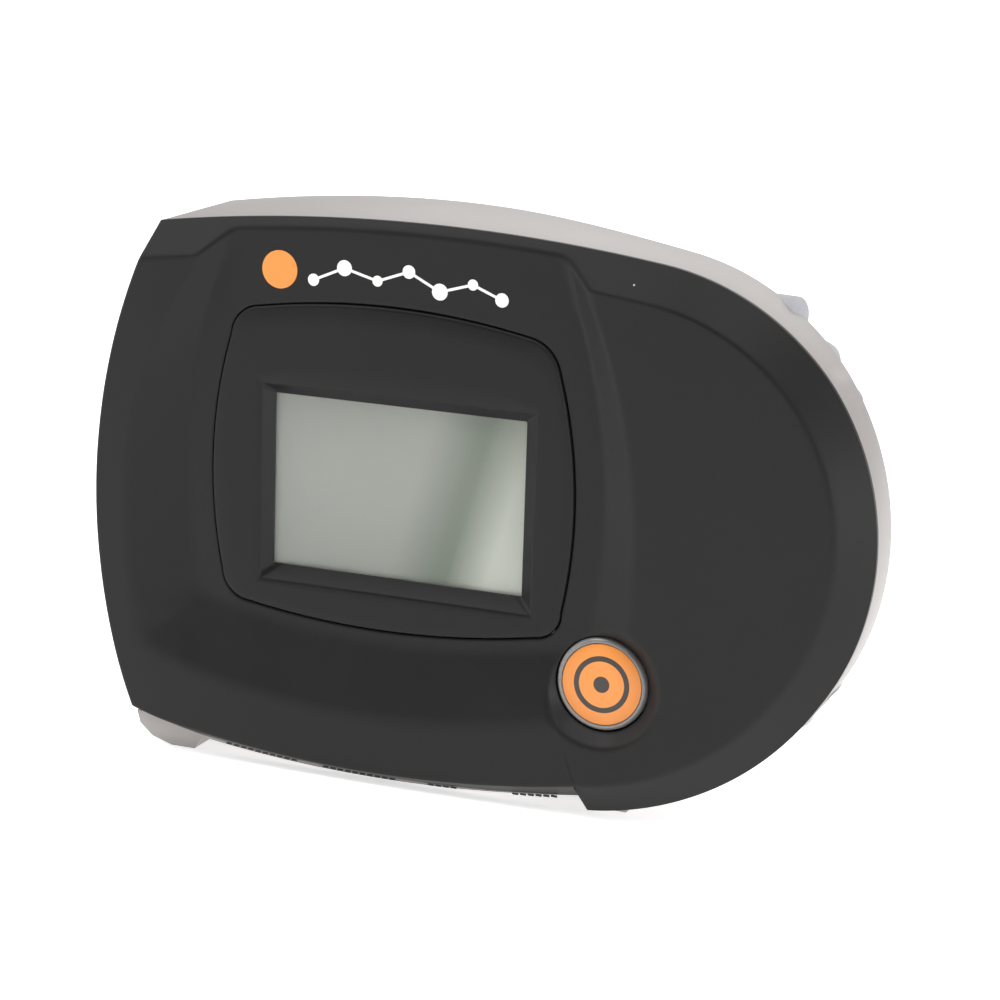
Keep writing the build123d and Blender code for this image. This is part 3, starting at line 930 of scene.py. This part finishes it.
class CONTROLLER_OT_button(bpy.types.Operator):
    """Builds the round button with its rim and orange disc, and finishes the switch under it"""

    bl_idname = "controller.button"
    bl_label = "Button"

    def execute(self, context):
        low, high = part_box("button_cap")
        radius = (high[0] - low[0]) / 2 / MM
        front = (low[1] - MIDDLE.y) / MM
        rim = [(radius, 1.4), (radius, front + 0.75), (radius - 0.12, front + 0.36)]
        rim += [(radius - 0.4, front + 0.08), (radius - 0.62, front), (radius - 0.8, front + 0.06)]
        rim += [(radius - 0.9, front + 0.3), (radius - 0.92, front + 0.49)]
        stem = [(0.5, front + 0.5)]
        back = [(0.5, 3.0), (1.9, 3.0), (2.0, 2.9), (2.0, 1.4)]
        cap = turned_mesh("button_rim", *BUTTON, stem + rim[::-1] + back[::-1])
        shade(cap, 40)
        add_piece("button_rim", cap, "button_plastic", "button", "button_cap")
        face = front + 0.14
        profile = [(radius - 0.97, front + 0.48), (radius - 0.97, face + 0.08), (radius - 1.1, face)]
        profile += [(3.0, face - 0.06), (0.3, face - 0.08)]
        disc = turned_mesh("button_disc", *BUTTON, profile)
        shade(disc, 40)
        add_piece("button_disc", disc, "orange_foil", "button", "button_inlay")
        dress("switch_body", "socket_plastic")
        dress("switch_plunger", "socket_plastic")
        return {"FINISHED"}


# ---------------------------------------------------------------- rear shell, grip, sockets, screws, board


class CONTROLLER_OT_rear_shell(bpy.types.Operator):
    """Finishes the silver rear shell with softened edges"""

    bl_idname = "controller.rear_shell"
    bl_label = "Rear shell"

    def execute(self, context):
        mesh = softened("rear_shell", 0.25, 2, 40)
        add_piece("rear_shell_skin", mesh, "silver_paint", "case", "rear_shell")
        return {"FINISHED"}


GRIP_FROM = (46.0, 14.9)
GRIP_TO = (80.0, 8.9)
GRIP_SLOPE = (GRIP_TO[1] - GRIP_FROM[1]) / (GRIP_TO[0] - GRIP_FROM[0])
NOSE_CENTRE = (33.0, -1.0)
PAD_CENTRE = (29.0, -1.0)


def slope_depth(x):
    """Depth of the slanting back at x."""
    return GRIP_FROM[1] + GRIP_SLOPE * (x - GRIP_FROM[0])


def pad_mesh():
    """The crescent that the ribs stand on."""
    low, high = math.radians(-56.0), math.radians(56.0)
    outer = [(NOSE_CENTRE[0] + 42.0 * math.cos(a), NOSE_CENTRE[1] + 42.0 * math.sin(a))
             for a in np.linspace(low, high, 60)]
    inner = [(PAD_CENTRE[0] + 32.4 * math.cos(a), PAD_CENTRE[1] + 32.4 * math.sin(a))
             for a in np.linspace(math.radians(60.0), math.radians(-60.0), 50)]
    crescent = np.array([p for p in outer + inner if p[0] >= 46.2])
    centre = crescent.mean(0)
    way = crescent - centre
    shrunk = crescent - way * 0.35 / np.linalg.norm(way, axis=1)[:, None]

    def depth(points, lift):
        return np.array([slope_depth(p[0]) + lift for p in points])

    layers = ((crescent, 0.12), (crescent, 0.85), (shrunk, 1.12))
    rings = [(ring, depth(ring, lift)) for ring, lift in layers]
    verts = [place(x, y, z) for ring, depths in rings for (x, z), y in zip(ring, depths)]
    mesh = solid("pad", verts, bridged(len(rings), len(crescent)))
    shade(mesh, 30)
    return mesh


RIB_REACH = 14.0


def rib_mesh(radius, around=20, caps=6):
    """One rib: a bar along X with round ends."""
    verts = []
    stations = [(-math.cos(t), math.sin(t)) for t in np.linspace(0.06, math.pi / 2, caps)]
    rows = [(radius * 0.8 * (1 + c), radius * s) for c, s in stations]
    rows += [(RIB_REACH - d, r) for d, r in reversed(rows)]
    for d, r in rows:
        for k in range(around):
            a = math.tau * k / around
            verts.append(Vector((d, r * math.cos(a), r * math.sin(a))) * MM)
    mesh = solid("rib", verts, bridged(len(rows), around))
    shade(mesh, 50)
    return mesh


class Tree:
    """Helps to build a Geometry Nodes tree with named inputs."""

    def __init__(self, name):
        self.group = bpy.data.node_groups.new(name, "GeometryNodeTree")
        self.group.interface.new_socket("Geometry", in_out="INPUT", socket_type="NodeSocketGeometry")
        self.group.interface.new_socket("Geometry", in_out="OUTPUT", socket_type="NodeSocketGeometry")
        self.source = self.group.nodes.new("NodeGroupInput")
        self.result = self.group.nodes.new("NodeGroupOutput")

    def add_input(self, title, kind):
        return self.group.interface.new_socket(title, in_out="INPUT", socket_type=kind).identifier

    def node(self, kind, **links):
        node = self.group.nodes.new(kind)
        for title, value in links.items():
            self.set(node, title.replace("_", " "), value)
        return node

    def set(self, node, title, value):
        socket = node.inputs[title]
        if isinstance(value, bpy.types.NodeSocket):
            self.group.links.new(value, socket)
        else:
            socket.default_value = value

    def math(self, kind, a, b=0.0):
        node = self.group.nodes.new("ShaderNodeMath")
        node.operation = kind
        for socket, value in zip(node.inputs, (a, b)):
            if isinstance(value, bpy.types.NodeSocket):
                self.group.links.new(value, socket)
            else:
                socket.default_value = value
        return node.outputs[0]

    def finish(self, geometry, material):
        real = self.node("GeometryNodeRealizeInstances", Geometry=geometry)
        coat = self.node("GeometryNodeSetMaterial", Geometry=real.outputs[0], Material=material)
        self.group.links.new(coat.outputs[0], self.result.inputs[0])


def grown_mesh(name, tree, values):
    """Runs a Geometry Nodes tree with its inputs set by identifier and returns a plain mesh."""
    host = bpy.data.objects.new(name, bpy.data.meshes.new(name))
    bpy.context.scene.collection.objects.link(host)
    step = host.modifiers.new(name, "NODES")
    step.node_group = tree.group
    for identifier, value in values.items():
        step[identifier] = value
    mesh = plain_mesh(host)
    bpy.data.objects.remove(host)
    return mesh


def rib_tree(material, rib):
    """Level ribs up the slope, each from the pad's inner edge to the round edge of the case."""
    tree = Tree("Grip ribs")
    names = {key: tree.add_input(title, kind) for key, title, kind in (
        ("count", "Ribs", "NodeSocketInt"), ("pitch", "Pitch", "NodeSocketFloat"),
        ("reach", "Edge radius", "NodeSocketFloat"), ("inner", "Inner radius", "NodeSocketFloat"))}
    source = tree.source.outputs
    nose = place(NOSE_CENTRE[0], 0, NOSE_CENTRE[1])
    pad = place(PAD_CENTRE[0], 0, PAD_CENTRE[1])
    first = place(0, 0, 1.5).z
    half = tree.math("MULTIPLY", tree.math("SUBTRACT", source["Ribs"], 1.0), 0.5)
    start = tree.math("SUBTRACT", first, tree.math("MULTIPLY", half, source["Pitch"]))
    index = tree.node("GeometryNodeInputIndex").outputs[0]
    height = tree.math("ADD", start, tree.math("MULTIPLY", index, source["Pitch"]))

    def arc_x(radius, centre):
        up = tree.math("SUBTRACT", height, centre.z)
        square = tree.math("SUBTRACT", tree.math("POWER", radius, 2.0), tree.math("POWER", up, 2.0))
        return tree.math("ADD", centre.x, tree.math("SQRT", tree.math("MAXIMUM", square, 0.0)))

    tip = tree.math("MULTIPLY", tree.math("SUBTRACT", height, place(0, 0, 27.4).z), 1.4)
    tip = tree.math("ADD", tree.math("MAXIMUM", tip, 0.0), place(46.4, 0, 0).x)
    inner = tree.math("MAXIMUM", arc_x(source["Inner radius"], pad), tip)
    outer = arc_x(source["Edge radius"], nose)
    foot = place(GRIP_FROM[0], GRIP_FROM[1] - 1.5, 0)
    run = tree.math("SUBTRACT", inner, foot.x)
    depth = tree.math("ADD", foot.y, tree.math("MULTIPLY", run, GRIP_SLOPE))
    spot = tree.node("ShaderNodeCombineXYZ", X=inner, Y=depth, Z=height)
    line = tree.node("GeometryNodeMeshLine", Count=source["Ribs"])
    moved = tree.node("GeometryNodeSetPosition", Geometry=line.outputs[0], Position=spot.outputs[0])
    level_reach = RIB_REACH * MM * math.cos(math.atan(GRIP_SLOPE))
    stretch = tree.math("DIVIDE", tree.math("SUBTRACT", outer, inner), level_reach)
    size = tree.node("ShaderNodeCombineXYZ", X=stretch, Y=1.0, Z=1.0)
    shape = tree.node("GeometryNodeObjectInfo", Object=rib)
    bars = tree.node("GeometryNodeInstanceOnPoints", Points=moved.outputs[0],
                     Instance=shape.outputs["Geometry"], Scale=size.outputs[0],
                     Rotation=(0.0, 0.0, math.atan(GRIP_SLOPE)))
    tree.finish(bars.outputs[0], material)
    return tree, names


def ribs_mesh(sizes, material):
    rib = bpy.data.objects.new("rib", rib_mesh(sizes.rib_radius / MM))
    bpy.context.scene.collection.objects.link(rib)
    tree, names = rib_tree(material, rib)
    mesh = grown_mesh("ribs", tree, {
        names["count"]: sizes.rib_count, names["pitch"]: sizes.rib_pitch,
        names["reach"]: 43.15 * MM, names["inner"]: 33.2 * MM})
    bpy.data.objects.remove(rib)
    return mesh


class CONTROLLER_OT_finger_grip(bpy.types.Operator):
    """Builds the soft crescent and its level ribs on the slanting back"""

    bl_idname = "controller.finger_grip"
    bl_label = "Finger grip"

    def execute(self, context):
        ribs = ribs_mesh(context.scene.controller_sizes, finish_of("grip_rubber"))
        add_piece("grip_pad", pad_mesh(), "grip_rubber", "case", "finger_grip")
        add_piece("grip_ribs", ribs, "grip_rubber", "case")
        return {"FINISHED"}


class CONTROLLER_OT_sockets(bpy.types.Operator):
    """Finishes the sockets in the underside"""

    bl_idname = "controller.sockets"
    bl_label = "Sockets"

    def execute(self, context):
        for node in ("modular_jack_a", "modular_jack_b", "phone_socket", "power_socket"):
            dress(node, "socket_plastic")
        for node in ("jack_contacts_a", "jack_contacts_b"):
            dress(node, "contact_metal")
        dress("power_pin", "screw_steel")
        return {"FINISHED"}


class CONTROLLER_OT_board(bpy.types.Operator):
    """Finishes the circuit board, its parts and the screws"""

    bl_idname = "controller.board"
    bl_label = "Board and screws"

    def execute(self, context):
        dress("main_board", "board")
        dress("board_chips", "chip")
        dress("board_capacitors", "chip")
        dress("board_screws", "screw_steel")
        dress("case_screws", "screw_steel")
        return {"FINISHED"}


# ---------------------------------------------------------------- stage


FLOOR_HALF = 6.0
# Name, place, size in metres and power in watts of each soft light.
LIGHTS = (
    ("over_left", (-0.42, -0.26, 1.05), 0.6, 5.0),
    ("over_right", (0.35, -0.45, 1.0), 0.6, 4.5),
    ("right", (0.8, -0.35, 0.16), 0.3, 2.5),
    ("back", (0.0, 1.9, 1.7), 2.4, 20.0),
    ("left", (-0.9, -0.15, 0.4), 0.7, 3.0),
)


class CONTROLLER_OT_stage(bpy.types.Operator):
    """Builds the pale, faintly glowing floor, the soft lights and the camera"""

    bl_idname = "controller.stage"
    bl_label = "Stage"

    def execute(self, context):
        scene = context.scene
        floor_mesh = bpy.data.meshes.new("floor")
        corners = [(x * FLOOR_HALF, y * FLOOR_HALF, 0) for x, y in ((-1, -1), (1, -1), (1, 1), (-1, 1))]
        floor_mesh.from_pydata(corners, [], [(0, 1, 2, 3)])
        floor = bpy.data.objects.new("floor", floor_mesh)
        scene.collection.objects.link(floor)
        material, tree, shader, vector = new_material("Stage floor")
        shade_noise = noise_node(tree, vector, 3.0)
        base = tuple(scene.controller_colours.floor)
        uneven = mix_colour(tree, shade_noise, base, tuple(c * 0.99 for c in base))
        tree.links.new(uneven, shader.inputs["Base Color"])
        shader.inputs["Roughness"].default_value = 0.9
        shader.inputs["Emission Color"].default_value = (1, 1, 1, 1)
        shader.inputs["Emission Strength"].default_value = 0.6
        floor.data.materials.append(material)
        scene.world = self.studio_world()
        for light in LIGHTS:
            self.light(*light)
        self.camera(scene)
        scene.view_settings.view_transform = "Standard"
        return {"FINISHED"}

    def studio_world(self):
        """White all round except in front of the object, where the room is dark."""
        world = bpy.data.worlds.new("Studio")
        world.use_nodes = True
        tree = world.node_tree
        background = tree.nodes["Background"]
        where = tree.nodes.new("ShaderNodeTexCoord")
        dot = tree.nodes.new("ShaderNodeVectorMath")
        dot.operation = "DOT_PRODUCT"
        dot.inputs[1].default_value = (0.12, -0.96, 0.25)
        tree.links.new(where.outputs["Generated"], dot.inputs[0])
        dim = ramp_node(tree, dot.outputs["Value"], 0.35, 0.9)
        glow = math_node(tree, "SUBTRACT", 0.56, math_node(tree, "MULTIPLY", dim, 0.51))
        background.inputs["Color"].default_value = (1, 1, 1, 1)
        tree.links.new(glow, background.inputs["Strength"])
        return world

    def light(self, name, spot, size, power):
        data = bpy.data.lights.new(name, "AREA")
        data.size = size
        data.energy = power
        lamp = bpy.data.objects.new(name, data)
        bpy.context.scene.collection.objects.link(lamp)
        lamp.location = spot
        aim = Vector((0, 0, 0.04)) - Vector(spot)
        lamp.rotation_euler = aim.to_track_quat("-Z", "Y").to_euler()

    def camera(self, scene):
        """Right of the display and above it, looking slightly down at it, from 0.48 m away."""
        data = bpy.data.cameras.new("camera")
        data.lens = 111.48
        data.sensor_width = 36.0
        ahead = Vector((-0.35620, 0.90256, -0.24189)).normalized()
        right = Vector((0.92687, 0.37411, 0.03101))
        right = (right - ahead * right.dot(ahead)).normalized()
        up = right.cross(ahead)
        turn = Matrix((right, up, -ahead)).transposed().to_4x4()
        eye = MIDDLE + Vector((0.1867, -0.4301, 0.1162))
        camera = bpy.data.objects.new("camera", data)
        scene.collection.objects.link(camera)
        camera.matrix_world = Matrix.Translation(eye) @ turn
        scene.camera = camera


# ---------------------------------------------------------------- panel and registration


class CONTROLLER_PT_panel(bpy.types.Panel):
    """Lists the sizes, the colours and the steps"""

    bl_idname = "CONTROLLER_PT_panel"
    bl_label = "Handheld controller"
    bl_space_type = "VIEW_3D"
    bl_region_type = "UI"
    bl_category = "Controller"

    def draw(self, context):
        for group in (context.scene.controller_sizes, context.scene.controller_colours):
            box = self.layout.box()
            for name in group.bl_rna.properties.keys():
                if name not in ("rna_type", "name"):
                    box.prop(group, name)
        for step in STEPS:
            self.layout.operator(step.bl_idname)


STEPS = (
    CONTROLLER_OT_stage,
    CONTROLLER_OT_front_cover,
    CONTROLLER_OT_display,
    CONTROLLER_OT_marks,
    CONTROLLER_OT_button,
    CONTROLLER_OT_rear_shell,
    CONTROLLER_OT_finger_grip,
    CONTROLLER_OT_sockets,
    CONTROLLER_OT_board,
)
CLASSES = (CaseSizes, CaseColours, *STEPS, CONTROLLER_PT_panel)


def register():
    for entry in CLASSES:
        bpy.utils.register_class(entry)
    bpy.types.Scene.controller_sizes = PointerProperty(type=CaseSizes)
    bpy.types.Scene.controller_colours = PointerProperty(type=CaseColours)


def unregister():
    del bpy.types.Scene.controller_colours
    del bpy.types.Scene.controller_sizes
    for entry in reversed(CLASSES):
        bpy.utils.unregister_class(entry)


def main():
    register()
    bpy.ops.controller.stage()
    bpy.ops.controller.front_cover()
    bpy.ops.controller.display()
    bpy.ops.controller.marks()
    bpy.ops.controller.button()
    bpy.ops.controller.rear_shell()
    bpy.ops.controller.finger_grip()
    bpy.ops.controller.sockets()
    bpy.ops.controller.board()


if __name__ == "__main__":
    main()
